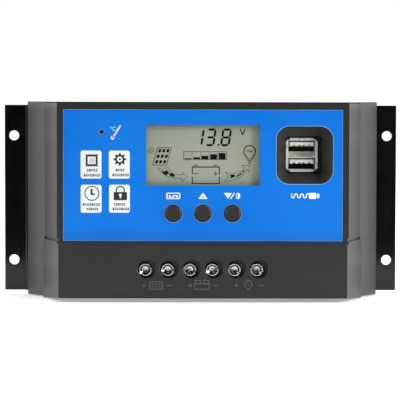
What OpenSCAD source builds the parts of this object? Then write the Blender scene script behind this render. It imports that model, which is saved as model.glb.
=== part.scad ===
// Solar charge controller for a wall: a finned heat sink with side flanges, a
// two-piece plastic case, a display, three keys, a twin power outlet and six
// rising-cage screw terminals.
// Every module is drawn face up: x to the right, y up the wall, z out of the
// wall. upright() then stands it up, so the wall is the plane Y = 0, the front
// faces -Y and the origin is the middle of the four mounting holes.

/* [Heat sink] */
// Overall width across the mounting flanges
sink_w = 189; // [188:0.5:195]
// Length of the extrusion, up the wall
sink_h = 89.4; // [86:0.1:89.5]
// Thickness of the mounting flanges
flange_t = 2.2; // [1.8:0.1:2.6]
// Distance between the mounting holes, across
hole_dx = 180; // [178:0.5:181]
// Distance between the mounting holes, up the wall
hole_dy = 60; // [50:1:70]
// Diameter of the mounting holes
hole_d = 4.8; // [4:0.1:6]
// Cooling fins on the back
fin_count = 21; // [7:2:21]
// Thickness of one fin
fin_t = 1.6; // [1.2:0.1:2]

/* [Case] */
// Half width of the case where it meets the heat sink
case_x = 84; // [83:0.1:84.2]
// Half height of the case where it meets the heat sink
case_y = 46.4; // [46.4:0.1:47]
// Depth from the wall to the terminal block's face
case_z = 46; // [45.5:0.1:47]
// Sideways play taken up between the case and the heat sink
case_shift = 0.8; // [0:0.1:0.8]
// Wall thickness of the front cover
wall = 2.2; // [2:0.1:2.4]

/* [Front] */
// Width of the printed label
label_w = 129; // [120:0.5:129]
// Height of the printed label
label_h = 60.6; // [58:0.1:60.8]
// Width of the display opening
lcd_w = 52.4; // [48:0.1:53]
// Height of the display opening
lcd_h = 27.9; // [24:0.1:28.5]
// Distance between the keys
key_pitch = 13.7; // [12:0.1:14]
// Diameter of a key
key_d = 7.4; // [6:0.1:7.6]
// Travel of a key
key_travel = 0.5; // [0.3:0.05:0.5]

/* [Terminals] */
// Distance between the terminals
pole_pitch = 10.3; // [10.3:0.05:10.6]
// Diameter of the screw holes in the cover
well_d = 8.6; // [7.6:0.1:8.8]
// Diameter of the screw heads
head_d = 6.6; // [5.5:0.1:6.8]
// Width of a wire opening in the cover
entry_w = 8.4; // [7.6:0.1:8.6]
// Height of a wire opening in the cover
entry_h = 7.4; // [7:0.1:7.6]

/* [Hidden] */
$fn = 64;
eps = 0.01;
far = 200;

// Heat sink levels and the case's own levels, as distances from the wall
land_z = flange_t + 1.2;
plate_z0 = 8;
plate_z1 = 11;
sink_body_x = 76;
land_x = 84.8;
shoulder = 1.6;
riser_t = 2;
fin_pitch = 7;
fin_tip_z = 0.6;
knee_z = 5;
split_z = 20;
face_z = case_z - 4;
label_floor_z = face_z - 0.5;
label_t = 0.35;
inner_z = label_floor_z - wall;
block_inner_z = case_z - 2.5;

// Half widths of the case's outer faces at those levels
split_x = 74.7;
face_x = 67.4;
block_split_x = 75.4;
block_face_x = 66.4;
side_wall = 2.3;
frame_split_y = case_y - 0.5;
cover_split_y = case_y - 1;
cover_face_y = case_y - 1.4;
block_split_y = case_y + 0.3;
block_face_y = case_y - 1.6;
end_wall = 1.5;
groove_w = 1.2;
groove_d = 0.7;
skirt_z = 18.4;
skirt_x = 72.2;
skirt_y = 44.25;
skirt_in_x = 70.8;
skirt_in_y = 43;

// Places on the front
label_y = 11.7;
recess_h = label_h + 0.3;
step_top_y = label_y - recess_h / 2;
step_foot_y = step_top_y - 1.95;
lcd_y = 21;
key_y = -5.8;
sensor_at = [-46.8, 31.65];
sensor_d = 2;
outlet_at = [46.9, 21.1];
outlet_rim_z = 34;
funnel_w = 25.8;
funnel_h = 26.4;
funnel_r = 5.9;
funnel_inset = 4.5;
pocket_z = 30;
funnel_wall = 1.4;
gasket_z = [30.4, 31.9];
well_y = -31.35;
well_rim = 0.25;
entry_z = 22;
boss_at = [60, 38];
post_at = [[-33.5, 36.5], [33.5, 37.5], [-33.5, -9.5], [33.5, -9.5]];

// Boards
board_z = 16;
board_t = 1.6;
board_top = board_z + board_t;
display_z = 29.4;
display_top = display_z + board_t;

// Terminals
poles = 6;
pole_y = -31.9;
block_z1 = 43.2;
head_top = 41.4;
head_h = 2.8;
shank_r = 2;
slot_reach = 3;
slot_disc_r = 5;
cage_w = 8;
cage_l = 9;
cage_z = 21.4;
cage_h = 11.1;
cage_floor = 1.2;
cage_top = 2.2;
cage_play = 0.3;
bar_z = 28.4;
bar_t = 1.6;
leg_y = -23.4;
sign_y = -38.85;
sign_t = 0.2;
sign_line = 0.36;
screw_turn = [38, 5, -14, 24, -32, -36];

// Twin outlet, standing on the main board
usb_at = [46.9, 21.15];
usb_top = 33;
usb_w = 13.3;
usb_h = 14.3;
usb_skin = 0.4;
port_w = 12.5;
port_h = 5.1;
port_pitch = 8.2;
tongue_w = 11.1;
tongue_h = 1.95;
tongue_drop = 0.65;
port_gap = port_pitch - port_h;

// Power transistors between the main board and the heat sink
mosfet_xs = [for (i = [0 : 5]) -50 + 20 * i];
mosfet_y = -6;
pad_t = 0.3;
tab_z = plate_z1 + pad_t;
tab_t = 1.3;
fuse_xs = [-24, 0, 24];
fuse_y = -17.5;

function pole_x(i) = (i - (poles - 1) / 2) * pole_pitch;
function key_x(i) = (i - 1) * key_pitch;

module upright() rotate([90, 0, 0]) children();
module with_case() upright() translate([case_shift, 0, 0]) children();
// A drawing of x against z, drawn out along y, and of y against z, along x
module along_y(l) rotate([90, 0, 0]) linear_extrude(l, center = true) children();
module along_x(l) rotate([90, 0, 90]) linear_extrude(l, center = true) children();
module slab(size, at, z) translate([at[0] - size[0] / 2, at[1] - size[1] / 2, z]) cube(size);
module rod(r, at, z0, z1) translate([at[0], at[1], z0]) cylinder(r = r, h = z1 - z0);
module at_bosses() for (sx = [-1, 1], sy = [-1, 1])
    translate([sx * boss_at[0], sy * boss_at[1], 0]) children();
module rounded_plate(w, h, r, t) linear_extrude(t) rounded_rect(w, h, r);
module rounded_rect(w, h, r) {
    square([w - 2 * r, h], center = true);
    square([w, h - 2 * r], center = true);
    for (sx = [-1, 1], sy = [-1, 1]) translate([sx * (w / 2 - r), sy * (h / 2 - r)]) circle(r);
}

// ---- Heat sink ----

module sink_profile() {
    translate([-sink_w / 2, 0]) square([sink_w / 2 - sink_body_x + riser_t, flange_t]);
    translate([sink_body_x - riser_t, 0]) square([sink_w / 2 - sink_body_x + riser_t, flange_t]);
    for (s = [-1, 1]) {
        polygon([
            [s * (sink_body_x - eps), 0], [s * land_x, 0], [s * land_x, flange_t],
            [s * (land_x - 0.4), land_z - 0.4], [s * (land_x - 0.9), land_z - 0.1],
            [s * (land_x - shoulder), land_z], [s * (sink_body_x - eps), land_z]
        ]);
        translate([s * (sink_body_x - riser_t / 2), plate_z1 / 2]) square([riser_t, plate_z1], center = true);
    }
    translate([-sink_body_x, plate_z0]) square([2 * sink_body_x, plate_z1 - plate_z0]);
    for (i = [0 : fin_count - 1])
        translate([(i - (fin_count - 1) / 2) * fin_pitch - fin_t / 2, fin_tip_z])
            square([fin_t, plate_z0 - fin_tip_z + eps]);
}

module heat_sink() color([0.06, 0.06, 0.06]) upright() difference() {
    along_y(sink_h) sink_profile();
    for (sx = [-1, 1], sy = [-1, 1]) rod(hole_d / 2, [sx * hole_dx / 2, sy * hole_dy / 2], -1, land_z + 1);
    at_bosses() {
        rod(2.5, [0, 0], -1, plate_z1 + 1);
        rod(4.2, [0, 0], -1, plate_z0);
    }
    for (x = mosfet_xs) rod(1.5, [x, 2], plate_z0 - 3, plate_z1 + 1);
}

// ---- Case ----

module frame_outer() intersection() {
    along_y(far) polygon([
        [-case_x, land_z], [case_x, land_z], [case_x, knee_z], [split_x, split_z],
        [-split_x, split_z], [-case_x, knee_z]
    ]);
    along_x(far) polygon([
        [-case_y, land_z], [case_y, land_z], [frame_split_y, split_z], [-frame_split_y, split_z]
    ]);
}

module frame_inner() intersection() {
    along_y(far) polygon([
        [-case_x + side_wall, 0], [case_x - side_wall, 0], [case_x - side_wall, knee_z],
        [split_x - side_wall, split_z], [split_x - side_wall, split_z + 1],
        [-split_x + side_wall, split_z + 1], [-split_x + side_wall, split_z], [-case_x + side_wall, knee_z]
    ]);
    along_x(far) polygon([
        [-case_y + end_wall, 0], [case_y - end_wall, 0], [case_y - end_wall, plate_z1 + 0.4],
        [frame_split_y - end_wall, split_z + 1], [-frame_split_y + end_wall, split_z + 1],
        [-case_y + end_wall, plate_z1 + 0.4]
    ]);
}

module base_frame() color([0.13, 0.13, 0.12]) with_case() difference() {
    frame_outer();
    frame_inner();
    // Open ends above and below the fins, so that air rises through them
    translate([-sink_body_x - case_shift, -far / 2, 0]) cube([2 * sink_body_x, far, plate_z0 - 0.4]);
    // The end walls sit back from the side walls
    for (s = [-1, 1]) slab([2 * split_x, 2, split_z], [0, s * (frame_split_y + 1.1)], land_z - 1);
    // Air slots in the top wall
    for (i = [0 : 22]) slab([2, 12, 7], [(i - 11) * 5.2, case_y], 10.4);
}

module cover_outer() {
    intersection() {
        along_y(far) polygon([[-split_x, split_z], [split_x, split_z], [face_x, face_z], [-face_x, face_z]]);
        along_x(far) polygon([
            [-cover_split_y, split_z], [cover_split_y, split_z],
            [cover_face_y, face_z], [-cover_face_y + 1, face_z]
        ]);
    }
    intersection() {
        along_y(far) polygon([
            [-block_split_x, split_z], [block_split_x, split_z],
            [block_face_x, case_z], [-block_face_x, case_z]
        ]);
        along_x(far) polygon([
            [-block_split_y, split_z], [step_top_y, split_z], [step_top_y, face_z],
            [step_foot_y, case_z], [-block_face_y, case_z]
        ]);
    }
    // Skirt that drops inside the base frame
    slab([2 * skirt_x, 2 * skirt_y, split_z + 1.5 - skirt_z], [0, 0], skirt_z);
}

module cover_inner() {
    intersection() {
        along_y(far) polygon([
            [-split_x + side_wall, split_z + 1.5], [split_x - side_wall, split_z + 1.5],
            [face_x - side_wall, inner_z], [-face_x + side_wall, inner_z]
        ]);
        along_x(far) polygon([
            [-cover_split_y + wall + 0.1, split_z + 1.5], [cover_split_y - wall, split_z + 1.5],
            [cover_face_y - wall, inner_z], [-cover_face_y + wall + 1, inner_z]
        ]);
    }
    intersection() {
        along_y(far) polygon([
            [-block_split_x + side_wall, split_z + 1.5], [block_split_x - side_wall, split_z + 1.5],
            [block_face_x - side_wall, block_inner_z], [-block_face_x + side_wall, block_inner_z]
        ]);
        along_x(far) polygon([
            [-block_split_y + end_wall, split_z + 1.5], [step_foot_y - wall, split_z + 1.5],
            [step_foot_y - wall, block_inner_z], [-block_face_y + end_wall, block_inner_z]
        ]);
    }
    slab([2 * skirt_in_x, 2 * skirt_in_y, split_z + 1.6 - skirt_z + 1], [0, 0], skirt_z - 1);
}

// Shadow groove between the upper part and the terminal block, across the side slopes
module side_grooves() for (s = [-1, 1])
    translate([0, step_top_y + groove_w / 2, 0]) along_y(groove_w) polygon([
        [s * (split_x - groove_d), split_z], [s * (face_x - groove_d), face_z],
        [s * (face_x + 9), face_z], [s * (split_x + 9), split_z]
    ]);

// Funnel with rounded corners: two crossed wedges and a cone at each corner
module outlet_funnel(grow, z0, z1) translate([outlet_at[0], outlet_at[1], 0]) {
    cx = funnel_w / 2 - funnel_r;
    cy = funnel_h / 2 - funnel_r;
    r0 = funnel_r - funnel_inset + grow;
    r1 = funnel_r + grow;
    along_y(2 * cy) polygon([[-cx - r0, z0], [cx + r0, z0], [cx + r1, z1], [-cx - r1, z1]]);
    along_x(2 * cx) polygon([[-cy - r0, z0], [cy + r0, z0], [cy + r1, z1], [-cy - r1, z1]]);
    for (sx = [-1, 1], sy = [-1, 1])
        translate([sx * cx, sy * cy, z0]) cylinder(r1 = r0, r2 = r1, h = z1 - z0);
}

// Straight pocket behind the funnel
module pocket_plate(grow, z0, z1) translate([outlet_at[0], outlet_at[1], z0]) rounded_plate(
    funnel_w + 2 * (grow - funnel_inset), funnel_h + 2 * (grow - funnel_inset),
    funnel_r - funnel_inset + grow, z1 - z0);

module cover_cuts() {
    slab([label_w + 0.4, recess_h, 2], [0, label_y], label_floor_z);
    slab([lcd_w, lcd_h, 9], [0, lcd_y], inner_z - 1);
    slab([lcd_w + 2.8, lcd_h + 2.8, 3], [0, lcd_y], inner_z - 2.1);
    for (i = [0 : 2]) rod(key_d / 2 + 0.3, [key_x(i), key_y], inner_z - 1, face_z + 1);
    rod(sensor_d / 2, sensor_at, inner_z - 1, face_z + 1);
    outlet_funnel(0, outlet_rim_z, face_z + 0.2);
    pocket_plate(0, pocket_z - 1, outlet_rim_z + 0.2);
    for (i = [0 : poles - 1]) {
        rod(well_d / 2, [pole_x(i), well_y], block_inner_z - 1, case_z + 1);
        translate([pole_x(i), well_y, case_z - well_rim])
            cylinder(r1 = well_d / 2, r2 = well_d / 2 + 2 * well_rim, h = 2 * well_rim);
        slab([entry_w, 12, entry_h], [pole_x(i), -case_y], entry_z);
    }
    at_bosses() rod(1.55, [0, 0], skirt_z - 2, 33);
    for (p = post_at) rod(0.95, p, display_top - 1, inner_z - 1);
}

module front_cover() color([0.13, 0.13, 0.12]) with_case() difference() {
    union() {
        difference() {
            cover_outer();
            cover_inner();
        }
        for (sx = [-1, 1], sy = [-1, 1])
            rod(3.4, [sx * boss_at[0], sy * boss_at[1]], board_top + 0.1,
                (sy > 0 ? inner_z : block_inner_z) + 1);
        for (p = post_at) rod(2.4, p, display_top, inner_z + 1);
        outlet_funnel(funnel_wall, outlet_rim_z - 1.6, inner_z + 0.5);
        pocket_plate(funnel_wall, pocket_z, outlet_rim_z - 1);
    }
    cover_cuts();
    side_grooves();
}

module front_label() color([0.1, 0.45, 0.88]) with_case() difference() {
    slab([label_w, label_h, label_t], [0, label_y], label_floor_z);
    slab([lcd_w, lcd_h, 2], [0, lcd_y], label_floor_z - 1);
    for (i = [0 : 2]) rod(key_d / 2 + 0.45, [key_x(i), key_y], label_floor_z - 1, face_z + 1);
    rod(sensor_d / 2, sensor_at, label_floor_z - 1, face_z + 1);
    translate([outlet_at[0], outlet_at[1], label_floor_z - 1])
        rounded_plate(funnel_w + 0.6, funnel_h + 0.6, funnel_r + 0.3, 3);
}

module lcd_window() color([0.8, 0.85, 0.8, 0.3]) with_case()
    slab([lcd_w + 2.4, lcd_h + 2.4, 0.8], [0, lcd_y], inner_z + 0.1);

// ---- Keys ----

module key_cap(i) color([0.12, 0.12, 0.12]) with_case() {
    rod(key_d / 2, [key_x(i), key_y], inner_z - 0.7, face_z + 0.4);
    translate([key_x(i), key_y, face_z + 0.4 - eps]) cylinder(r1 = key_d / 2, r2 = key_d / 2 - 0.5, h = 0.5);
    rod(5, [key_x(i), key_y], inner_z - 1.5, inner_z - 0.6);
    rod(1.6, [key_x(i), key_y], display_top + 5, inner_z - 1);
}

module key_plunger(i) color([0.75, 0.2, 0.15]) with_case()
    rod(1.72, [key_x(i), key_y], display_top + 2.2, display_top + 5);

module switch_bodies() color([0.15, 0.15, 0.16]) with_case() for (i = [0 : 2]) difference() {
    slab([6, 6, 3.5], [key_x(i), key_y], display_top);
    rod(1.8, [key_x(i), key_y], display_top + 1.5, display_top + 4);
}

// ---- Display ----

lcd_cell = [58, 32.6, 2.2];
lcd_cell_z = inner_z - 3;

module lcd_glass() color([0.57, 0.6, 0.53]) with_case() slab(lcd_cell, [0, lcd_y], lcd_cell_z);

module lcd_frame() color([0.85, 0.85, 0.82]) with_case() difference() {
    slab([62, 36, inner_z - 0.3 - display_top], [0, lcd_y], display_top);
    slab([lcd_cell[0] + 0.4, lcd_cell[1] + 0.4, lcd_cell_z + lcd_cell[2] - display_top + 1],
        [0, lcd_y], display_top - 1);
    slab([lcd_w + 2.6, lcd_h + 2.2, 12], [0, lcd_y], display_top);
}

module lcd_backlight() color([0.93, 0.95, 0.9]) with_case()
    slab([56, 27, lcd_cell_z - display_top - 0.1], [0, lcd_y], display_top);

module lcd_connectors() color([0.9, 0.5, 0.55]) with_case() for (s = [-1, 1])
    slab([56, 2, lcd_cell_z - display_top], [0, lcd_y + s * 15], display_top);

module display_board() color([0.05, 0.32, 0.18]) with_case() difference() {
    slab([73.5, 55.2, board_t], [-0.25, 14.6], display_z);
    for (p = post_at) rod(1.2, p, display_z - 1, display_top + 1);
    slab([37, 1.6, 4], [-case_shift, 40.6], display_z - 1);
}

module display_board_screws() color([0.7, 0.7, 0.72]) with_case() for (p = post_at) {
    rod(0.9, p, display_z - eps, display_top + 5);
    rod(2, p, display_z - 1.3, display_z);
}

module board_header() color([0.08, 0.08, 0.08]) upright() {
    slab([35.6, 2.5, 2.5], [0, 40.6], board_top);
    for (i = [0 : 13]) slab([0.64, 0.64, 11.3], [(i - 6.5) * 2.54, 40.6], board_top + 2.5);
}

// ---- Twin outlet ----

module usb_side_flare(w) {
    // One flared lip: the shell's front edge bent outwards
    rotate([90, 0, 90]) linear_extrude(w, center = true)
        polygon([[0, -1], [0.4, -1], [1.15, -0.2], [1.15, 0], [0.75, 0], [0, -0.75]]);
}

module usb_shell() color([0.8, 0.8, 0.78]) upright() translate([usb_at[0], usb_at[1], 0]) {
    difference() {
        slab([usb_w, usb_h, usb_top - 0.7 - board_top], [0, 0], board_top);
        for (s = [-1, 1]) slab([port_w, port_h, 30], [0, s * port_pitch / 2], board_top - 1);
        slab([port_w, port_gap - 0.6, 9], [0, 0], board_top - 1);
        // Behind the front edge, the upper opening runs down to the lower one's top sheet
        slab([port_w, port_gap - 0.35, 5.5], [0, 0.25], usb_top - 5.5);
    }
    translate([0, usb_h / 2 - usb_skin, usb_top]) usb_side_flare(port_w - 1.4);
    translate([0, -usb_h / 2 + usb_skin, usb_top]) rotate(180) usb_side_flare(port_w - 1.4);
    translate([usb_w / 2 - usb_skin, 0, usb_top]) rotate(-90) usb_side_flare(usb_h - 1.4);
    translate([-usb_w / 2 + usb_skin, 0, usb_top]) rotate(90) usb_side_flare(usb_h - 1.4);
}

module usb_insulator() color([0.1, 0.1, 0.1]) upright() translate([usb_at[0], usb_at[1], 0]) {
    for (s = [-1, 1]) slab([port_w - 0.1, port_h - 0.1, 5.4], [0, s * port_pitch / 2], board_top);
}

function tongue_y(s) = usb_at[1] + s * port_pitch / 2 + port_h / 2 - tongue_drop - tongue_h / 2;

module usb_tongue(s) color([0.92, 0.92, 0.9]) upright() difference() {
    slab([tongue_w, tongue_h, usb_top - 0.8 - board_top - 5.4], [usb_at[0], tongue_y(s)], board_top + 5.4);
    for (x = [-3.5, -1, 1, 3.5])
        slab([1.5, 1.1, 10], [usb_at[0] + x, tongue_y(s) - tongue_h / 2], usb_top - 9);
}

module usb_contacts() color([0.85, 0.68, 0.3]) upright() for (s = [-1, 1], x = [-3.5, -1, 1, 3.5])
    slab([1, 0.25, 6.6], [usb_at[0] + x, tongue_y(s) - tongue_h / 2 + 0.4], usb_top - 8.9);

module outlet_gasket() color([0.03, 0.03, 0.03]) difference() {
    with_case() pocket_plate(-0.1, gasket_z[0], gasket_z[1]);
    upright() slab([usb_w + 0.3, usb_h + 0.3, 4], usb_at, gasket_z[0] - 1);
}

// ---- Main board and power parts ----

module main_board() color([0.05, 0.32, 0.18]) upright() difference() {
    slab([144, 85.2, board_t], [0, -0.2], board_z);
    at_bosses() rod(2.5, [0, 0], board_z - 1, board_top + 1);
    for (i = [0 : poles - 1]) slab([3.4, 2, 4], [pole_x(i), leg_y], board_z - 1);
}

module board_spacers() color([0.78, 0.65, 0.35]) upright() at_bosses() difference() {
    rod(4, [0, 0], plate_z1, board_z);
    rod(2.5, [0, 0], plate_z1 - 1, board_z + 1);
}

module housing_screws() color([0.55, 0.55, 0.57]) with_case() at_bosses() difference() {
    union() {
        rod(3, [0, 0], plate_z0 - 2.2, plate_z0);
        rod(1.5, [0, 0], plate_z0 - eps, 31);
    }
    for (a = [0, 90]) rotate(a) slab([3.6, 0.8, 1.4], [0, 0], plate_z0 - 2.3);
}

module thermal_pad() color([0.75, 0.75, 0.78]) upright() difference() {
    slab([116, 18, pad_t], [0, -3], plate_z1);
    for (x = mosfet_xs) rod(1.8, [x, 2], plate_z1 - 1, plate_z1 + 1);
}

module mosfet_tabs() color([0.75, 0.75, 0.77]) upright() for (x = mosfet_xs) difference() {
    slab([10, 15.6, tab_t], [x, mosfet_y + 3.3], tab_z);
    rod(1.8, [x, 2], tab_z - 1, tab_z + tab_t + 1);
}

module mosfet_bodies() color([0.1, 0.1, 0.1]) upright() for (x = mosfet_xs)
    slab([10, 9, 3.1], [x, mosfet_y], tab_z + tab_t);

module mosfet_leads() color([0.8, 0.8, 0.8]) upright() for (x = mosfet_xs, k = [-1, 0, 1]) {
    slab([0.8, 3, 0.5], [x + k * 2.54, mosfet_y - 6], tab_z + tab_t + 1);
    slab([0.8, 0.5, board_z - tab_z - tab_t - 1], [x + k * 2.54, mosfet_y - 7.25], tab_z + tab_t + 1);
}

module mosfet_screws() color([0.7, 0.7, 0.72]) upright() for (x = mosfet_xs) difference() {
    union() {
        rod(2.7, [x, 2], tab_z + tab_t, tab_z + tab_t + 2);
        rod(1.45, [x, 2], plate_z0 + 0.5, tab_z + tab_t + eps);
    }
    for (a = [0, 90]) translate([x, 2, 0]) rotate(a) slab([3, 0.7, 2], [0, 0], tab_z + tab_t + 1);
}

module filter_capacitors() color([0.1, 0.12, 0.2]) upright() {
    for (y = [-9, 9]) rod(6.25, [-50, y], board_top, board_top + 18);
    rod(4, [58, -12], board_top, board_top + 12);
}

module usb_inductor() color([0.25, 0.25, 0.27]) upright() slab([12, 12, 7], [43, -8], board_top);

module fuse_bodies() color([0.85, 0.45, 0.1]) upright() for (x = fuse_xs) {
    slab([19, 5, 8], [x, fuse_y], board_top + 5);
    slab([14, 4, 3], [x, fuse_y], board_top + 2);
}

module fuse_blades() color([0.8, 0.8, 0.8]) upright() for (x = fuse_xs, s = [-1, 1])
    slab([3, 0.8, 5], [x + s * 8.6, fuse_y], board_top);

module microcontroller() color([0.08, 0.08, 0.08]) upright() slab([10, 10, 1.5], [10, 22], board_top);

module voltage_regulator() color([0.08, 0.08, 0.08]) upright() slab([5, 4, 1.6], [30, -8], board_top);

module shunt_strips() color([0.6, 0.55, 0.5]) upright() for (x = [-12, 12])
    translate([x, -6, board_top]) rotate([90, 0, 0]) linear_extrude(2, center = true) intersection() {
        difference() {
            circle(6);
            circle(5);
        }
        translate([-7, 0]) square([14, 7]);
    }

module temperature_sensor() color([0.1, 0.1, 0.1]) with_case() {
    translate([sensor_at[0], sensor_at[1], inner_z - 1.8]) sphere(r = 1.3);
    for (s = [-1, 1]) rod(0.25, [sensor_at[0] + s * 0.7, sensor_at[1]], board_top, inner_z - 2);
}

// ---- Terminals ----

module terminal_block() color([0.07, 0.07, 0.07]) upright() difference() {
    slab([2 * pole_x(poles - 1) + pole_pitch + 2.4, 18.1, block_z1 - board_top], [0, -33.85], board_top);
    for (i = [0 : poles - 1]) {
        // Cage shaft, wire mouth, screw well and the slot for the current bar
        slab([cage_w + 2 * cage_play, 13.3, head_top - head_h - cage_z + cage_play],
            [pole_x(i), -32.3], cage_z - cage_play);
        slab([cage_w - 0.6, 8, 6.8], [pole_x(i), -41], cage_z + 0.6);
        rod(3.7, [pole_x(i), pole_y], head_top - head_h - 1, block_z1 + 1);
        slab([5.2, 8, bar_t + 0.2], [pole_x(i), -25], bar_z - 0.1);
    }
}

module terminal_contacts() color([0.8, 0.72, 0.45]) upright() for (i = [0 : poles - 1]) {
    slab([5, 16.1, bar_t], [pole_x(i), -30.65], bar_z);
    slab([3, 1.6, bar_z - board_z + 1.4 + eps], [pole_x(i), leg_y], board_z - 1.4);
}

// Raised signs under the terminals: panel, battery and lamp, each between a plus and a minus
module sign_frame(w, h) difference() {
    square([w, h], center = true);
    square([w - 2 * sign_line, h - 2 * sign_line], center = true);
}

module plus_sign() {
    square([1.8, sign_line], center = true);
    square([sign_line, 1.8], center = true);
}

module panel_sign() {
    sign_frame(6.4, 3.8);
    for (x = [-1.5, 0, 1.5]) translate([x, 0]) square([0.2, 3.4], center = true);
    for (y = [-0.6, 0.6]) translate([0, y]) square([6, 0.2], center = true);
}

module battery_sign() {
    translate([0, -0.5]) sign_frame(7.2, 2.8);
    for (x = [-1.9, 1.9]) translate([x, 1.6]) sign_frame(2.7, 1.9);
}

module lamp_sign() {
    translate([0, 0.5]) difference() {
        circle(1.85);
        circle(1.85 - sign_line);
        translate([0, -2]) square([1.7, 1.6], center = true);
    }
    for (y = [-1.45, -2]) translate([0, y]) square([1.5, sign_line], center = true);
    translate([0, 0.3]) rotate(25) square([0.25, 1.7], center = true);
}

module terminal_signs() color([0.13, 0.13, 0.12]) with_case()
    translate([0, sign_y, case_z]) linear_extrude(sign_t) {
        for (x = [-27.05, -5.75, 15.4]) translate([x, 0]) plus_sign();
        for (x = [-15.35, 5.8, 26.9]) translate([x, 0]) square([2.6, sign_line], center = true);
        translate([-21.5, 0]) panel_sign();
        translate([-0.4, 0]) battery_sign();
        translate([20.9, 0]) lamp_sign();
    }

module terminal_screw(i) color([0.82, 0.83, 0.82]) upright() translate([pole_x(i), pole_y, 0])
    rotate(screw_turn[i]) difference() {
        union() {
            rod(head_d / 2, [0, 0], head_top - head_h, head_top - 0.4);
            translate([0, 0, head_top - 0.4]) cylinder(r1 = head_d / 2, r2 = head_d / 2 - 0.4, h = 0.4);
            rod(shank_r, [0, 0], bar_z + bar_t + 0.1, head_top - head_h + eps);
        }
        // A slot with a curved floor, a countersink and a deeper cross
        translate([0, 0, head_top + sqrt(slot_disc_r * slot_disc_r - slot_reach * slot_reach)])
            rotate([90, 0, 0]) cylinder(r = slot_disc_r, h = 1, center = true);
        translate([0, 0, head_top - 0.8]) cylinder(r1 = 1.5, r2 = 2.3, h = 0.8 + eps);
        for (a = [0, 90]) rotate(a) slab([3, 1, 3], [0, 0], head_top - 1.7);
    }

module clamp_cage(i) color([0.75, 0.75, 0.72]) upright()
    translate([pole_x(i), pole_y, cage_z]) difference() {
        slab([cage_w, cage_l, cage_h], [0, 0], 0);
        slab([cage_w - 2.2, cage_l + 2, cage_h - cage_floor - cage_top], [0, 0], cage_floor);
        rod(shank_r + 0.08, [0, 0], 5, cage_h + 1);
    }

heat_sink();
base_frame();
front_cover();
front_label();
lcd_window();
key_cap(0);  // menu_button
key_cap(1);  // up_button
key_cap(2);  // down_button
key_plunger(0);  // menu_plunger
key_plunger(1);  // up_plunger
key_plunger(2);  // down_plunger
switch_bodies();
lcd_glass();
lcd_frame();
lcd_backlight();
lcd_connectors();
display_board();
display_board_screws();
board_header();
outlet_gasket();
usb_shell();
usb_insulator();
usb_tongue(1);  // usb_upper_tongue
usb_tongue(-1);  // usb_lower_tongue
usb_contacts();
main_board();
board_spacers();
housing_screws();
thermal_pad();
mosfet_tabs();
mosfet_bodies();
mosfet_leads();
mosfet_screws();
terminal_block();
terminal_contacts();
terminal_signs();
terminal_screw(0);  // terminal_screw_1
terminal_screw(1);  // terminal_screw_2
terminal_screw(2);  // terminal_screw_3
terminal_screw(3);  // terminal_screw_4
terminal_screw(4);  // terminal_screw_5
terminal_screw(5);  // terminal_screw_6
clamp_cage(0);  // clamp_cage_1
clamp_cage(1);  // clamp_cage_2
clamp_cage(2);  // clamp_cage_3
clamp_cage(3);  // clamp_cage_4
clamp_cage(4);  // clamp_cage_5
clamp_cage(5);  // clamp_cage_6
filter_capacitors();
usb_inductor();
fuse_bodies();
fuse_blades();
microcontroller();
voltage_regulator();
shunt_strips();
temperature_sensor();
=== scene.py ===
import math

import bpy
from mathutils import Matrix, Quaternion, Vector


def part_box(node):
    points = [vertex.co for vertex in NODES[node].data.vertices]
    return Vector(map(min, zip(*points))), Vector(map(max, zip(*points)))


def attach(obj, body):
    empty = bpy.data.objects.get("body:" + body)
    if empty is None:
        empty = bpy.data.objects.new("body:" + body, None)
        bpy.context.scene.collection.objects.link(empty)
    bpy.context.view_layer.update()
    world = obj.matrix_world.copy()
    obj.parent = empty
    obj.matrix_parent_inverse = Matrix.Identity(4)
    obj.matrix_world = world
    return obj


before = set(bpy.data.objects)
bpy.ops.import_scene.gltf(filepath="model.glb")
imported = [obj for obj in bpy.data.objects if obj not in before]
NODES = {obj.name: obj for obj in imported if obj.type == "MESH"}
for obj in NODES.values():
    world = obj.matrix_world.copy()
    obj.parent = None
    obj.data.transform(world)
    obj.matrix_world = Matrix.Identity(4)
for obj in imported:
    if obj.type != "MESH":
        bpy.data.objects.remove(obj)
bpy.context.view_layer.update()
scene = bpy.context.scene
scene.view_settings.view_transform = "Standard"
scene.view_settings.look = "None"

MM = 0.001
SHIFT = 0.8  # the case sits this far to the right of the heat sink's middle, in mm
LABEL_TOP = -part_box("front_label")[0].y / MM  # distance from the wall to the printed face
FLOOR = min(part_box("front_cover")[0].z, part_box("base_frame")[0].z)
NOISE_ROUGHNESS = 0.55


# ---------------------------------------------------------------- materials


def set_range(node, low, high, out_low, out_high):
    names = ("From Min", "From Max", "To Min", "To Max")
    for name, number in zip(names, (low, high, out_low, out_high)):
        node.inputs[name].default_value = number


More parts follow.
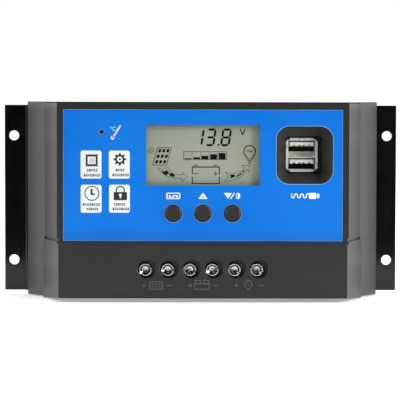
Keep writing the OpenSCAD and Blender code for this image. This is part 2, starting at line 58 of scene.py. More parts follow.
class Shader:
    """A node material with a Principled surface, in object coordinates (metres)."""

    def __init__(self, name, color, rough, metal=0.0, **sockets):
        self.mat = bpy.data.materials.new(name)
        self.mat.use_nodes = True
        self.tree = self.mat.node_tree
        self.bsdf = self.tree.nodes["Principled BSDF"]
        self.bsdf.inputs["Base Color"].default_value = (*color, 1)
        self.bsdf.inputs["Roughness"].default_value = rough
        self.bsdf.inputs["Metallic"].default_value = metal
        for key, value in sockets.items():
            self.bsdf.inputs[key.replace("_", " ")].default_value = value
        self.coords = self.node("ShaderNodeTexCoord").outputs["Object"]
        self.color = color
        self.normal = None

    def node(self, kind, **settings):
        made = self.tree.nodes.new(kind)
        for key, value in settings.items():
            setattr(made, key, value)
        return made

    def link(self, a, b):
        self.tree.links.new(a, b)

    def stretched(self, scale):
        mapping = self.node("ShaderNodeMapping")
        mapping.inputs["Scale"].default_value = scale
        self.link(self.coords, mapping.inputs["Vector"])
        return mapping.outputs["Vector"]

    def noise(self, size_mm, detail=3.0, stretch=None):
        made = self.node("ShaderNodeTexNoise")
        made.inputs["Scale"].default_value = 1 / (size_mm * MM)
        made.inputs["Detail"].default_value = detail
        made.inputs["Roughness"].default_value = NOISE_ROUGHNESS
        self.link(self.stretched(stretch) if stretch else self.coords, made.inputs["Vector"])
        return made.outputs["Fac"]

    def ramp(self, value, low, high, out_low, out_high):
        made = self.node("ShaderNodeMapRange")
        set_range(made, low, high, out_low, out_high)
        self.link(value, made.inputs["Value"])
        return made.outputs["Result"]

    def tint(self, value, other, low=0.35, high=0.7):
        """Base colour varies towards other where value is high."""
        mix = self.node("ShaderNodeMix", data_type="RGBA")
        current = self.bsdf.inputs["Base Color"]
        if current.is_linked:
            self.link(current.links[0].from_socket, mix.inputs["A"])
        else:
            mix.inputs["A"].default_value = (*self.color, 1)
        mix.inputs["B"].default_value = (*other, 1)
        self.link(self.ramp(value, low, high, 0, 1), mix.inputs["Factor"])
        self.link(mix.outputs["Result"], current)
        return self

    def gloss(self, value, low, high, at=(0.3, 0.7)):
        self.link(self.ramp(value, at[0], at[1], low, high), self.bsdf.inputs["Roughness"])
        return self

    def bump(self, value, depth_mm, strength=1.0):
        made = self.node("ShaderNodeBump")
        made.inputs["Distance"].default_value = depth_mm * MM
        made.inputs["Strength"].default_value = strength
        self.link(value, made.inputs["Height"])
        if self.normal is not None:
            self.link(self.normal, made.inputs["Normal"])
        self.normal = made.outputs["Normal"]
        self.link(self.normal, self.bsdf.inputs["Normal"])
        return self


def shade(value):
    """An sRGB colour, 0 to 255, as linear light."""
    return tuple(c / 255 / 12.92 if c <= 10 else ((c / 255 + 0.055) / 1.055) ** 2.4 for c in value)


def plastic(name, color, rough, grain_mm=0.35, depth_mm=0.012, spread=0.18):
    made = Shader(name, color, rough)
    grain = made.noise(grain_mm, 4)
    cloudy = made.noise(14, 3)
    made.tint(cloudy, tuple(c * (1 + spread) for c in color), 0.3, 0.75)
    made.tint(grain, tuple(c * (1 - spread * 0.7) for c in color), 0.5, 0.8)
    made.gloss(grain, rough - 0.07, rough + 0.08)
    return made.bump(grain, depth_mm)


def metal(name, color, rough, brush=None, depth_mm=0.004, size_mm=0.6):
    made = Shader(name, color, rough, 1.0)
    lines = made.noise(size_mm, 4, brush)
    made.tint(lines, tuple(c * 0.72 for c in color), 0.45, 0.75)
    made.gloss(made.noise(4, 3), rough * 0.75, rough * 1.3)
    return made.bump(lines, depth_mm)


case_mat = plastic("case_plastic", (0.019, 0.0193, 0.0162), 0.43, 0.32, 0.014)
case_mat.bsdf.inputs["Specular IOR Level"].default_value = 0.3
key_mat = plastic("key_plastic", (0.02, 0.0205, 0.019), 0.42, 0.25, 0.008)
key_mat.bsdf.inputs["Specular IOR Level"].default_value = 0.3
# Painted highlight: the raised signs are the case's own plastic, drawn lighter to stand in for the light
# their raised lines catch
sign_highlight_mat = plastic("raised_sign_painted_highlight", (0.075, 0.074, 0.066), 0.4, 0.32, 0.014)
block_mat = plastic("terminal_plastic", (0.008, 0.008, 0.009), 0.5, 0.4, 0.01)
switch_mat = plastic("switch_plastic", (0.012, 0.012, 0.014), 0.45, 0.4, 0.01)
plunger_mat = plastic("plunger_plastic", (0.4, 0.05, 0.04), 0.45, 0.4, 0.01)
tongue_mat = plastic("tongue_plastic", (0.86, 0.85, 0.78), 0.35, 0.4, 0.004, 0.05)
frame_mat = plastic("display_frame_plastic", (0.6, 0.6, 0.57), 0.45, 0.4, 0.008, 0.08)
diffuser_mat = plastic("diffuser_plastic", (0.75, 0.78, 0.72), 0.4, 0.4, 0.004, 0.05)
fuse_mat = plastic("fuse_plastic", (0.7, 0.17, 0.02), 0.25, 0.6, 0.004)
sleeve_mat = plastic("capacitor_sleeve", (0.012, 0.02, 0.06), 0.22, 0.8, 0.004)
chip_mat = plastic("chip_resin", (0.012, 0.012, 0.012), 0.5, 0.15, 0.008)
ferrite_mat = plastic("ferrite", (0.03, 0.03, 0.032), 0.7, 0.2, 0.02)
elastomer_mat = plastic("elastomer", (0.5, 0.16, 0.2), 0.6, 0.3, 0.008)
# Painted shade: a black foam ring fills the gap round the USB shell, and its black stands in for the shade
# in that gap
gap_shade_foam_mat = plastic("black_foam_painted_shade", (0.006, 0.006, 0.006), 0.85, 0.5, 0.05)
pad_mat = plastic("thermal_sheet", (0.25, 0.26, 0.29), 0.75, 0.25, 0.01)

nickel_mat = metal("nickel", (0.95, 0.94, 0.88), 0.3, None, 0.004, 0.5)
nickel_mat.bsdf.inputs["Metallic"].default_value = 0.4
screw_mat = metal("screw_nickel", (0.5, 0.54, 0.52), 0.15, None, 0.02, 0.5)
steel_mat = metal("zinc_steel", (0.62, 0.62, 0.63), 0.3, None, 0.006, 0.8)
tin_mat = metal("tin", (0.66, 0.66, 0.67), 0.32, None, 0.006, 0.7)
gold_mat = metal("gold", (0.85, 0.6, 0.22), 0.22, None, 0.003, 0.5)
brass_mat = metal("brass", (0.62, 0.46, 0.2), 0.28, (1, 6, 1), 0.005, 0.6)
bar_mat = metal("terminal_bar", (0.66, 0.6, 0.42), 0.3, (6, 1, 1), 0.005, 0.6)
alloy_mat = metal("shunt_alloy", (0.4, 0.32, 0.26), 0.35, (6, 1, 1), 0.005, 0.6)

# Black anodised extrusion: fine die lines run up the wall
sink_mat = Shader("black_anodised", (0.003, 0.003, 0.0027), 0.12, 0.0, Specular_IOR_Level=0.34)
die_lines = sink_mat.noise(0.35, 3, (1, 1, 0.012))
sink_mat.tint(sink_mat.noise(9, 4), (0.0065, 0.0064, 0.006))
sink_mat.gloss(sink_mat.noise(1.2, 4, (1, 1, 0.05)), 0.08, 0.14)
sink_mat.bump(die_lines, 0.004)

# Printed polyester film
label_mat = Shader("label_film", shade((11, 110, 209)), 0.33, Specular_IOR_Level=0.2)
label_mat.tint(label_mat.noise(26, 2), shade((18, 116, 214)), 0.3, 0.75)
label_mat.gloss(label_mat.noise(0.25, 3), 0.29, 0.38)
label_mat.bump(label_mat.noise(0.18, 3), 0.0022)
# Painted highlight: a pale material for the film's edges, standing in for the light they catch
label_edge_highlight_mat = plastic("label_edge_painted_highlight", (0.3, 0.42, 0.58), 0.4, 0.5, 0.01, 0.5)

white_ink = plastic("white_ink", (0.8, 0.82, 0.8), 0.45, 0.2, 0.003, 0.05)
card_ink = plastic("card_ink", (0.76, 0.79, 0.78), 0.45, 0.25, 0.003, 0.05)
black_ink = plastic("black_ink", (0.012, 0.012, 0.013), 0.45, 0.2, 0.003)
blue_ink = plastic("blue_ink", shade((30, 100, 200)), 0.45, 0.2, 0.003)
red_ink = plastic("red_ink", (0.62, 0.06, 0.04), 0.45, 0.2, 0.003)
grey_ink = plastic("grey_ink", (0.05, 0.05, 0.05), 0.45, 0.2, 0.003)
pale_ink = plastic("pale_ink", shade((165, 205, 240)), 0.45, 0.2, 0.003, 0.05)
faint_ink = plastic("faint_ink", shade((188, 204, 196)), 0.45, 0.2, 0.003, 0.05)

lcd_mat = Shader("lcd_reflector", shade((166, 175, 156)), 0.55)
lcd_mat.tint(lcd_mat.noise(0.12, 3), shade((156, 165, 146)), 0.4, 0.7)
lcd_mat.tint(lcd_mat.noise(18, 2), shade((171, 180, 161)), 0.35, 0.8)
lcd_mat.bump(lcd_mat.noise(0.1, 2), 0.003)
segment_mat = plastic("lcd_segment", (0.004, 0.0042, 0.0036), 0.6, 0.3, 0.003)
segment_mat.bsdf.inputs["Specular IOR Level"].default_value = 0.1
faint_mat = plastic("lcd_faint_segment", shade((66, 71, 62)), 0.5, 0.3, 0.003)

window_mat = Shader("clear_window", (0.05, 0.05, 0.05), 0.06, Alpha=0.05)
window_mat.gloss(window_mat.noise(6, 3), 0.04, 0.1)

board_mat = Shader("solder_mask", (0.012, 0.11, 0.045), 0.3)
board_mat.tint(board_mat.noise(3, 5, (1, 1, 6)), (0.03, 0.2, 0.09), 0.5, 0.56)
board_mat.gloss(board_mat.noise(1, 3), 0.22, 0.4)
board_mat.bump(board_mat.noise(2.5, 4, (6, 1, 1)), 0.02)

NODE_MATERIAL = {
    "heat_sink": sink_mat,
    "base_frame": case_mat,
    "front_cover": case_mat,
    "front_label": label_mat,
    "lcd_window": window_mat,
    "menu_button": key_mat,
    "up_button": key_mat,
    "down_button": key_mat,
    "menu_plunger": plunger_mat,
    "up_plunger": plunger_mat,
    "down_plunger": plunger_mat,
    "switch_bodies": switch_mat,
    "lcd_glass": lcd_mat,
    "lcd_frame": frame_mat,
    "lcd_backlight": diffuser_mat,
    "lcd_connectors": elastomer_mat,
    "display_board": board_mat,
    "display_board_screws": steel_mat,
    "board_header": chip_mat,
    "usb_shell": nickel_mat,
    "outlet_gasket": gap_shade_foam_mat,
    "usb_insulator": chip_mat,
    "usb_upper_tongue": tongue_mat,
    "usb_lower_tongue": tongue_mat,
    "usb_contacts": gold_mat,
    "main_board": board_mat,
    "board_spacers": brass_mat,
    "housing_screws": steel_mat,
    "thermal_pad": pad_mat,
    "mosfet_tabs": tin_mat,
    "mosfet_bodies": chip_mat,
    "mosfet_leads": tin_mat,
    "mosfet_screws": steel_mat,
    "terminal_block": block_mat,
    "terminal_contacts": bar_mat,
    "terminal_signs": sign_highlight_mat,
    "filter_capacitors": sleeve_mat,
    "usb_inductor": ferrite_mat,
    "fuse_bodies": fuse_mat,
    "fuse_blades": tin_mat,
    "microcontroller": chip_mat,
    "voltage_regulator": chip_mat,
    "shunt_strips": alloy_mat,
    "temperature_sensor": chip_mat,
}
for i in range(1, 7):
    NODE_MATERIAL[f"terminal_screw_{i}"] = screw_mat
    NODE_MATERIAL[f"clamp_cage_{i}"] = steel_mat


def dress(obj, material):
    obj.data.materials.clear()
    obj.data.materials.append(material.mat)


for name, material in NODE_MATERIAL.items():
    dress(NODES[name], material)


SHARP_ANGLE = 30  # only edges that turn by more than this many degrees are rounded
JOIN_DISTANCE = 2e-6  # metres


def soften(obj, width_mm):
    """Rounded edges on a CAD node: join its corners, then bevel its sharp edges. Flat faces aren't merged
    first, because merged faces with holes in them fold over themselves."""
    join = obj.modifiers.new("join", "WELD")
    join.merge_threshold = JOIN_DISTANCE
    edge = obj.modifiers.new("round", "BEVEL")
    edge.width = width_mm * MM
    edge.segments = 3
    edge.limit_method = "ANGLE"
    edge.angle_limit = math.radians(SHARP_ANGLE)
    edge.use_clamp_overlap = True
    edge.miter_outer = "MITER_ARC"
    normals = obj.modifiers.new("normals", "WEIGHTED_NORMAL")
    normals.keep_sharp = False
    obj.data.polygons.foreach_set("use_smooth", [True] * len(obj.data.polygons))


# The heat sink and the two housings aren't rounded: bevelled, their meshes opened or folded
for name, width in (
    ("terminal_block", 0.2),
    ("menu_button", 0.3), ("up_button", 0.3), ("down_button", 0.3),
    *((f"clamp_cage_{i}", 0.2) for i in range(1, 7)),
    *((f"terminal_screw_{i}", 0.06) for i in range(1, 7)),
):
    soften(NODES[name], width)


# ---------------------------------------------------------------- flat artwork


def front(x, y, depth):
    """A point given in mm on the case's front, in the row frame."""
    return ((x + SHIFT) * MM, -depth * MM, y * MM)


def art(name, groups, low, high, material):
    """Filled outlines drawn on the front, as a solid from depth low to depth high, in mm from the wall.
    Each group is a list of closed loops, and a loop inside another is a hole."""
    verts, faces = [], []
    for loops in groups:
        curve = bpy.data.curves.new(name, "CURVE")
        curve.dimensions = "2D"
        curve.fill_mode = "BOTH"
        curve.extrude = (high - low) / 2
        for loop in loops:
            spline = curve.splines.new("POLY")
            spline.points.add(len(loop) - 1)
            for point, (x, y) in zip(spline.points, loop):
                point.co = (x, y, 0, 1)
            spline.use_cyclic_u = True
        holder = bpy.data.objects.new(name, curve)
        mesh = bpy.data.meshes.new_from_object(holder)
        base = len(verts)
        verts += [front(v.co.x, v.co.y, (low + high) / 2 + v.co.z) for v in mesh.vertices]
        faces += [[base + k for k in p.vertices] for p in mesh.polygons]
        bpy.data.objects.remove(holder)
        bpy.data.curves.remove(curve)
        bpy.data.meshes.remove(mesh)
    mesh = bpy.data.meshes.new(name)
    mesh.from_pydata(verts, [], faces)
    obj = bpy.data.objects.new(name, mesh)
    scene.collection.objects.link(obj)
    join = obj.modifiers.new("join", "WELD")
    join.merge_threshold = 1e-7
    dress(obj, material)
    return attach(obj, "case")


def ring(x, y, r, n=32, start=0.0, end=360.0):
    closed = end - start >= 360
    steps = n if closed else n + 1
    return [
        (x + r * math.cos(math.radians(start + (end - start) * k / n)),
         y + r * math.sin(math.radians(start + (end - start) * k / n)))
        for k in range(steps)
    ]


def box(x0, y0, x1, y1, r=0.0, n=5):
    if r <= 0:
        return [(x0, y0), (x1, y0), (x1, y1), (x0, y1)]
    out = []
    corners = (
        (x1 - r, y0 + r, -90), (x1 - r, y1 - r, 0),
        (x0 + r, y1 - r, 90), (x0 + r, y0 + r, 180),
    )
    for cx, cy, a in corners:
        out += ring(cx, cy, r, n, a, a + 90)
    return out


def stroke(points, width):
    """The outline of a line of that width through the points, with square ends."""
    left, right = [], []
    for k, p in enumerate(points):
        a = Vector(points[max(k - 1, 0)])
        b = Vector(points[min(k + 1, len(points) - 1)])
        along = (b - a).normalized()
        scale = 1.0
        if 0 < k < len(points) - 1:
            step = (Vector(points[k]) - a).normalized()
            scale = 1 / max(abs(along.dot(step)), 0.5)
        side = Vector((-along.y, along.x)) * width / 2 * scale
        left.append((p[0] + side.x, p[1] + side.y))
        right.append((p[0] - side.x, p[1] - side.y))
    return left + right[::-1]


def outline(loop, width):
    """A closed loop as a band: the loop and the same loop drawn inwards by width."""
    n = len(loop)
    inner = []
    after = loop[1:] + loop[:1]
    signed = sum(x0 * y1 - x1 * y0 for (x0, y0), (x1, y1) in zip(loop, after))
    turn = 1 if signed > 0 else -1
    for k in range(n):
        p = Vector(loop[k])
        a = (p - Vector(loop[k - 1])).normalized()
        b = (Vector(loop[(k + 1) % n]) - p).normalized()
        normal = (Vector((-a.y, a.x)) + Vector((-b.y, b.x))).normalized()
        scale = 1 / max(normal.dot(Vector((-a.y, a.x))), 0.4)
        inner.append((p.x + normal.x * width * scale * turn, p.y + normal.y * width * scale * turn))
    return [loop, inner]


def arc(x, y, r, start, end, width, n=16):
    return stroke(ring(x, y, r, n, start, end), width)


# Printing: from just inside the film to two thin layers above it
INK0 = LABEL_TOP - 0.01
INK1 = LABEL_TOP + 0.03
INK2 = LABEL_TOP + 0.06

# Four white cards with plain pictograms
CARDS = {"chip": (-51.6, 16.6), "gear": (-38.6, 16.6), "clock": (-51.55, 0.85), "padlock": (-38.5, 0.9)}
CARD_W, CARD_H = 9.6, 12.9
art("label_cards",
    [[box(x - CARD_W / 2, y - CARD_H / 2, x + CARD_W / 2, y + CARD_H / 2, 1.0)] for x, y in CARDS.values()],
    INK0, INK1, card_ink)


def chip_sign(x, y):
    """A square chip: a dark frame with round pins along its four sides."""
    out = [[box(x - 2.55, y - 2.5, x + 2.55, y + 2.5), box(x - 1.85, y - 1.75, x + 1.85, y + 1.75)]]
    for k in range(5):
        t = -2.5 + 1.25 * k
        sides = [(t, 2.5), (t, -2.5)] if k in (0, 4) else [(t, 2.5), (t, -2.5), (2.55, t), (-2.55, t)]
        out += [[ring(x + dx, y + dy, 0.42, 12)] for dx, dy in sides]
    return out


def gear_sign(x, y):
    teeth = []
    for k in range(8):
        for r, turn in ((2.15, -14), (2.95, -7), (2.95, 7), (2.15, 14)):
            a = math.radians(45 * k + 90 + turn)
            teeth.append((x + r * math.cos(a), y + r * math.sin(a)))
    return [[teeth, ring(x, y, 1.3)], [ring(x, y, 0.48)]]


def clock_sign(x, y):
    return [[ring(x, y, 3.45, 48), ring(x, y, 3.0, 48)],
            [[(x - 0.6, y + 2.05), (x - 0.6, y - 0.75), (x + 1.35, y - 0.75), (x + 1.35, y - 0.05),
              (x + 0.28, y - 0.05), (x + 0.28, y + 2.05)]]]


def padlock_sign(x, y):
    body = [box(x - 3.05, y - 3.2, x + 3.05, y + 0.55, 0.2)]
    keyhole = ring(x, y - 0.85, 0.72, 20, -60, 240) + [(x - 0.3, y - 2.3), (x + 0.3, y - 2.3)]
    shackle = stroke([(x - 1.85, y + 0.5), *ring(x, y + 1.35, 1.85, 16, 180, 0), (x + 1.85, y + 0.5)], 0.55)
    return [body + [keyhole], [shackle]]


picture = chip_sign(-51.3, 18.55)
picture += gear_sign(-38.35, 19.05)
picture += clock_sign(-51.2, 3.35)
picture += padlock_sign(-38.1, 3.4)
art("card_pictograms", picture, INK1 - 0.005, INK2, black_ink)
art("chip_core", [[box(-52.6, 17.35, -50.0, 19.75, 0.1)]], INK1 - 0.005, INK2, faint_ink)

# Two rows of plain bars where the cards carry small print: (left, right, middle height, strokes)
bars = []
for left, right, mid, strokes in (
    (-53.8, -48.5, 14.0, 5), (-55.1, -47.2, 11.7, 8), (-40.4, -36.2, 14.1, 4), (-41.9, -34.1, 11.8, 8),
    (-55.6, -47.4, -1.85, 8), (-53.8, -48.3, -3.9, 6), (-41.2, -35.8, -1.75, 6), (-41.8, -33.9, -3.85, 8),
):
    pitch = (right - left) / strokes
    for k in range(strokes):
        x = left + pitch * (k + 0.5)
        tall = 0.62 if (k * 5 + strokes) % 3 else 0.5
        loops = [box(x - pitch * 0.36, mid - tall, x + pitch * 0.36, mid + tall, 0.15, 2)]
        if (k * 3 + strokes) % 4:
            loops.append(box(x - pitch * 0.12, mid - tall + 0.3, x + pitch * 0.12, mid + tall - 0.3))
        bars.append(loops)
art("card_bars", bars, INK1 - 0.005, INK2, grey_ink)

# Thermometer and a small degree sign beside the sensor hole
art("thermometer_body",
    [[stroke([(-41.6, 29.0), (-38.2, 34.4)], 0.78)],
     [ring(-41.7, 28.95, 0.85, 24)],
     [ring(-38.2, 34.4, 0.39, 16)]],
    INK0, INK1, white_ink)
art("degree_sign",
    [[ring(-42.55, 33.75, 0.36, 16), ring(-42.55, 33.75, 0.16, 16)],
     [arc(-41.0, 33.1, 0.8, 45, 315, 0.34)]],
    INK0, INK1, pale_ink)
art("thermometer_fluid", [[stroke([(-41.6, 29.1), (-39.9, 31.8)], 0.2)], [ring(-41.65, 29.05, 0.34, 20)]],
    INK1 - 0.005, INK2, red_ink)

# Signs above the keys: a menu box, up and down triangles, and a half-lit disc
art("key_signs", [
    [box(-16.95, 0.76, -10.5, 3.7, 0.3), box(-16.35, 1.26, -11.1, 3.2, 0.1)],
    [box(-15.75, 1.5, -11.65, 2.5), box(-14.9, 1.85, -13.9, 2.5), box(-13.4, 1.5, -12.5, 2.15)],
    [[(-2.1, 0.87), (2.18, 0.87), (0.0, 3.75)]],
    [[(9.62, 3.63), (13.38, 3.63), (11.55, 0.98)]],
    [stroke([(12.72, 0.85), (14.5, 3.72)], 0.5)],
    [[(16.14 + 1.02 * c, 2.3 + 1.45 * s) for c, s in ring(0, 0, 1, 32)],
     [(16.02 + 0.62 * c, 2.3 + 1.12 * s) for c, s in ring(0, 0, 1, 16, 90, 270)]],
], INK0, INK1, white_ink)
art("key_sign_marks", [
    [box(-0.5, 1.6, 0.56, 1.95)], [box(-0.15, 1.95, 0.2, 2.3)], [box(-0.15, 1.25, 0.2, 1.6)],
    [box(11.1, 2.55, 12.1, 2.85)],
], INK1 - 0.005, INK2, blue_ink)

# Plug sign under the outlet, with a looped lead
LOOP = 0.68
LEAD_LEFT, LEAD_LOW, LEAD_HIGH = 40.9, 1.45, 3.25
lead = [(LEAD_LEFT, 3.5)]
for k in range(6):
    x = LEAD_LEFT + LOOP * (2 * k + 1)
    if k % 2:
        lead += ring(x, LEAD_HIGH - LOOP, LOOP, 8, 180, 0)
    else:
        lead += ring(x, LEAD_LOW + LOOP, LOOP, 8, 180, 360)
plug_end = [box(52.55, 1.3, 53.75, 3.35, 0.2), box(52.95, 1.65, 53.35, 2.1), box(52.95, 2.55, 53.35, 3.0)]
art("plug_sign", [[stroke(lead, 0.5)], [box(48.9, 0.93, 52.3, 3.72, 0.45)], plug_end],
    INK0, INK1, white_ink)

# Painted highlight: a pale band round the film's border and its openings, standing in for the light its
# edges catch
label_low, label_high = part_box("front_label")
LX = (label_high.x - label_low.x) / 2 / MM
LY0, LY1 = label_low.z / MM, label_high.z / MM
SENSOR_X, SENSOR_Y = -46.8, 31.65
OUTLET_X, OUTLET_Y, OUTLET_HALF_W, OUTLET_HALF_H, OUTLET_CORNER = 46.9, 21.1, 13.2, 13.5, 6.2
KEY_PITCH, KEY_Y = 13.7, -5.8
outlet_loop = box(OUTLET_X - OUTLET_HALF_W, OUTLET_Y - OUTLET_HALF_H,
                  OUTLET_X + OUTLET_HALF_W, OUTLET_Y + OUTLET_HALF_H, OUTLET_CORNER, 10)
edge_highlight_loops = [
    outline(box(-LX, LY0, LX, LY1), 0.1),
    [ring(SENSOR_X, SENSOR_Y, 1.14, 32), ring(SENSOR_X, SENSOR_Y, 1.0, 32)],
    outline(outlet_loop, 0.16),
]
for x in (-KEY_PITCH, 0, KEY_PITCH):
    edge_highlight_loops.append([ring(x, KEY_Y, 4.27, 48), ring(x, KEY_Y, 4.15, 48)])
art("label_edge_painted_highlights", edge_highlight_loops, INK0 - 0.05, INK1, label_edge_highlight_mat)

# ---------------------------------------------------------------- display

LCD0 = -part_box("lcd_glass")[0].y / MM
SEG0, SEG1 = LCD0 - 0.01, LCD0 + 0.05


def segment(a, b, width):
    """One bar of a digit, with pointed ends."""
    a, b = Vector(a), Vector(b)
    along = (b - a).normalized()
    side = Vector((-along.y, along.x)) * width / 2
    tip = along * width / 2
    points = (a, a + tip + side, b - tip + side, b, b - tip - side, a + tip - side)
    return [(p.x, p.y) for p in points]


def digit(x, y, w, h, lit, width, slant):
    at = {
        "a": ((0, h), (w, h)), "b": ((w, h), (w, h / 2)), "c": ((w, h / 2), (w, 0)), "d": ((0, 0), (w, 0)),
        "e": ((0, 0), (0, h / 2)), "f": ((0, h / 2), (0, h)), "g": ((0, h / 2), (w, h / 2)),
    }
    out = []
    for name in lit:
        (x0, y0), (x1, y1) = at[name]
        gap = Vector((x1 - x0, y1 - y0)).normalized() * 0.12
        loop = segment((x0 + gap.x, y0 + gap.y), (x1 - gap.x, y1 - gap.y), width)
        out.append([[(x + px + slant * py, y + py) for px, py in loop]])
    return out


dark = []
for x, lit in ((-4.25, "bc"), (1.25, "abcdg"), (8.35, "abcdefg")):
    dark += digit(x, 25.65, 3.5, 7.2, lit, 1.0, 0.15)
dark.append([box(6.8, 25.35, 7.65, 26.2, 0.15, 3)])
dark.append([stroke([(17.2, 33.2), (18.3, 30.5), (19.5, 33.2)], 0.55)])

# Charge gauge: five rising bars in a box
GX, GY, GW, GH = -9.15, 18.8, 20.25, 3.95
gauge_bars = ((-8.55, 0.45), (-4.5, 0.95), (-0.7, 1.6), (3.35, 2.35), (7.3, 2.9))
dark += [[box(x, GY + 0.3, x + 3.15, GY + 0.3 + tall)] for x, tall in gauge_bars]
grey = [outline(box(GX, GY, GX + GW, GY + GH), 0.26)]
for x in (-5.15, -1.1, 2.75, 6.75):
    grey.append([box(x, GY + 0.26, x + 0.2, GY + GH - 0.26)])

# Leaning solar panel with nine cells, and a small sun
PX, PY, LEAN = -23.5, 16.2, 0.288


def lean(loop):
    return [(x + (y - PY) * LEAN, y) for x, y in loop]


grey.append(outline(lean(box(PX, PY, PX + 6.7, PY + 8.35)), 0.36))
for row in range(3):
    for col in range(3):
        x, y = PX + 0.95 + col * 1.87, PY + 0.95 + row * 2.55
        dark.append([lean(box(x, y, x + 1.2, y + 1.5))])
SX, SY = -24.05, 23.1
grey.append([ring(SX, SY, 0.9, 20), ring(SX, SY, 0.66, 20)])
for k in range(8):
    a = math.radians(45 * k + 22.5)
    grey.append([stroke([(SX + 1.15 * math.cos(a), SY + 1.15 * math.sin(a)),
                         (SX + 1.8 * math.cos(a), SY + 1.8 * math.sin(a))], 0.26)])


def bend(a, c, b, steps=10):
    """Points on the curve from a to b that leans towards c."""
    a, c, b = Vector(a), Vector(c), Vector(b)
    at = [k / steps for k in range(steps + 1)]
    points = [a * (1 - t) ** 2 + c * 2 * t * (1 - t) + b * t * t for t in at]
    return [(p.x, p.y) for p in points]


# Hollow curved arrows, from the panel to the battery and from there to the lamp
arrow_in = bend((-21.1, 15.4), (-18.3, 9.9), (-10.0, 10.1))
arrow_in += [(-9.75, 8.6), (-7.1, 11.1), (-9.6, 13.2), (-9.4, 12.1)]
arrow_in += bend((-12.4, 12.1), (-14.6, 12.2), (-16.2, 15.7)) + [(-18.3, 14.4)]
arrow_out = bend((9.5, 8.8), (18.4, 9.2), (20.3, 14.4))
arrow_out += [(21.5, 12.8), (21.7, 16.4), (17.7, 16.3), (19.0, 15.3)]
arrow_out += bend((18.6, 14.5), (16.9, 12.4), (12.4, 12.6)) + [(10.2, 13.4), (11.7, 11.3)]
grey += [outline(arrow_in[::-1], 0.24), outline(arrow_out, 0.24)]
dark += [[[(-19.3, 14.1), (-17.9, 13.3), (-16.9, 14.1), (-15.6, 12.7), (-17.2, 11.6), (-18.6, 12.7)]],
         [[(-15.6, 12.5), (-14.3, 12.7), (-12.9, 11.5), (-13.4, 10.9), (-15.3, 11.2)]],
         [[(12.4, 11.9), (14.6, 12.1), (14.9, 11.0), (12.3, 10.3), (13.0, 11.2)]],
         [[(15.4, 11.4), (17.6, 12.8), (17.9, 12.2), (15.5, 10.8)]],
         [[(18.0, 13.0), (19.1, 14.2), (19.3, 13.9), (18.3, 12.7)]]]

# Battery with two posts, marked plus and minus
BX0, BX1, BY0, BY1 = -5.15, 7.8, 7.65, 15.75
MID0, MID1 = 11.1, 12.0
LID, WALL = 0.5, 0.42
for x0, y0, x1, y1 in (
    (BX0, BY1 - LID, BX1, BY1), (BX0, BY0, BX1, BY0 + WALL),
    (BX0, MID1, BX0 + WALL, BY1 - LID), (BX1 - WALL, MID1, BX1, BY1 - LID),
    (BX0, BY0 + WALL, BX0 + WALL, MID0), (BX1 - WALL, BY0 + WALL, BX1, MID0),
):
    dark.append([box(x0, y0, x1, y1)])
for x in (-3.28, 5.85):
    dark.append([ring(x, BY1, 0.9, 14, 0, 180) + ring(x, BY1, 0.6, 14, 0, 180)[::-1]])
    grey.append([box(x - 1.1, 12.3, x + 1.1, 12.65)])
grey += [[box(5.68, 12.65, 6.02, 13.6)], [box(5.68, 11.35, 6.02, 12.3)]]

# Lamp
UX, UY = 21.6, 22.75
dark.append([ring(UX, UY, 2.95, 40, -56, 236) + ring(UX, UY, 2.5, 40, -56, 236)[::-1]])
for side in (-1, 1):
    dark.append([stroke([(UX + side * 1.62, UY - 2.2), (UX + side * 1.0, UY - 3.7)], 0.42)])
for k in range(4):
    half = 1.15 - 0.22 * k
    y = UY - 3.45 - 0.75 * k
    dark.append([box(UX - half, y - 0.17, UX + half, y + 0.17, 0.1, 2)])
filament = [(UX - 1.6, UY + 0.1), (UX - 0.5, UY + 0.55), (UX + 0.1, UY - 0.25), (UX + 1.6, UY + 0.45)]
dark.append([stroke(filament, 0.34)])
art("lcd_segments", dark, SEG0, SEG1, segment_mat)
art("lcd_outlines", grey, SEG0, SEG1 - 0.01, faint_mat)

# ---------------------------------------------------------------- stage, lights, camera

DIM_FRONT, BRIGHT_BACK, BRIGHT_TOP = 0.02, 1.7, 0.3


def area(name, at, target, size, power):
    light = bpy.data.lights.new(name, "AREA")
    light.shape = "RECTANGLE"
    light.size, light.size_y = size
    light.energy = power
    obj = bpy.data.objects.new(name, light)
    scene.collection.objects.link(obj)
    obj.location = at
    obj.rotation_euler = (Vector(target) - Vector(at)).to_track_quat("-Z", "Y").to_euler()
    return obj


# The floor ends a short way in front, so that the flanges mirror only a little of it
FLOOR_RADIUS, FLOOR_FRONT = 2.2, -0.22
floor_mesh = bpy.data.meshes.new("floor")
rim = [
    (FLOOR_RADIUS * math.cos(a), max(FLOOR_RADIUS * math.sin(a), FLOOR_FRONT), FLOOR)
    for a in (math.radians(5 * k) for k in range(72))
]
floor_mesh.from_pydata(rim, [], [tuple(range(72))])
floor = bpy.data.objects.new("floor", floor_mesh)
scene.collection.objects.link(floor)
floor_mat = Shader(
    "floor", (0.6, 0.6, 0.6), 0.9, Emission_Color=(1, 1, 1, 1), Emission_Strength=0.35)
floor_mat.tint(floor_mat.noise(300, 2), (0.62, 0.62, 0.62))
dress(floor, floor_mat)

# The camera sees white all round. What lights the object is white behind and above it, and dim in front.
world = bpy.data.worlds.new("studio")
scene.world = world
world.use_nodes = True
sky = world.node_tree


def sky_node(kind, **settings):
    made = sky.nodes.new(kind)
    for key, value in settings.items():
        setattr(made, key, value)
    return made


def sky_range(value, low, high, out_low, out_high):
    made = sky_node("ShaderNodeMapRange", interpolation_type="SMOOTHSTEP")
    set_range(made, low, high, out_low, out_high)
    sky.links.new(value, made.inputs["Value"])
    return made.outputs["Result"]


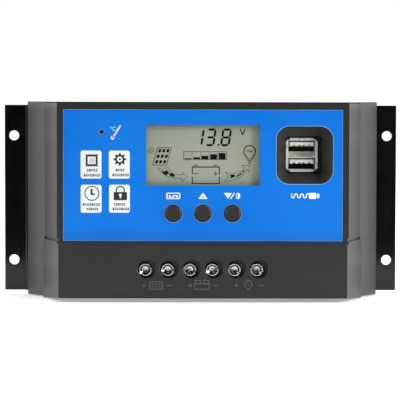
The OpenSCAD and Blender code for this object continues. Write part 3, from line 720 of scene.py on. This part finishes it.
direction = sky_node("ShaderNodeSeparateXYZ")
sky.links.new(sky_node("ShaderNodeTexCoord").outputs["Generated"], direction.inputs["Vector"])
behind = sky_range(direction.outputs["Y"], -0.7, 0.0, DIM_FRONT, BRIGHT_BACK)
above = sky_range(direction.outputs["Z"], 0.45, 0.9, 0.0, BRIGHT_TOP)
total = sky_node("ShaderNodeMath", operation="MAXIMUM")
sky.links.new(behind, total.inputs[0])
sky.links.new(above, total.inputs[1])
lit = sky.nodes["Background"]
sky.links.new(total.outputs["Value"], lit.inputs["Strength"])
seen = sky_node("ShaderNodeBackground")
both = sky_node("ShaderNodeMixShader")
sky.links.new(sky_node("ShaderNodeLightPath").outputs["Is Camera Ray"], both.inputs["Fac"])
sky.links.new(lit.outputs["Background"], both.inputs[1])
sky.links.new(seen.outputs["Background"], both.inputs[2])
sky.links.new(both.outputs["Shader"], sky.nodes["World Output"].inputs["Surface"])
lit.inputs["Color"].default_value = (1, 1, 1, 1)
seen.inputs["Color"].default_value = (1, 1, 1, 1)
seen.inputs["Strength"].default_value = 1.05

area("key", (0.85, -0.75, 0.35), (0, 0, 0), (0.35, 0.5), 7)
area("side_right", (1.35, -0.12, 0.25), (0, 0, 0), (0.5, 0.9), 22)
area("side_left", (-1.35, -0.08, 0.25), (0, 0, 0), (0.5, 0.9), 15)
area("fill", (-0.5, -1.1, 0.7), (0, 0, 0), (0.8, 0.5), 3)
area("floor_light", (0, 0.9, 1.2), (0, 0.9, 0), (2.2, 1.2), 16)

# Almost straight on, from slightly left and above, as in the photo
CAMERA_DISTANCE = 0.86
CAMERA_YAW, CAMERA_PITCH, CAMERA_ROLL = 0.48, 2.07, 0.12  # degrees
camera_data = bpy.data.cameras.new("camera")
camera_data.lens, camera_data.sensor_width = 159.6, 36
camera_data.clip_start, camera_data.clip_end = 0.01, 20
camera = bpy.data.objects.new("camera", camera_data)
scene.collection.objects.link(camera)
target = Vector((-0.00022, 0, -0.00116))
yaw, pitch, roll = (math.radians(a) for a in (CAMERA_YAW, CAMERA_PITCH, CAMERA_ROLL))
away = Vector((-math.sin(yaw) * math.cos(pitch), -math.cos(yaw) * math.cos(pitch), math.sin(pitch)))
camera.location = target + away * CAMERA_DISTANCE
camera.rotation_mode = "QUATERNION"
look = (-away).to_track_quat("-Z", "Y")
look.rotate(Quaternion(away, roll))
camera.rotation_quaternion = look
scene.camera = camera
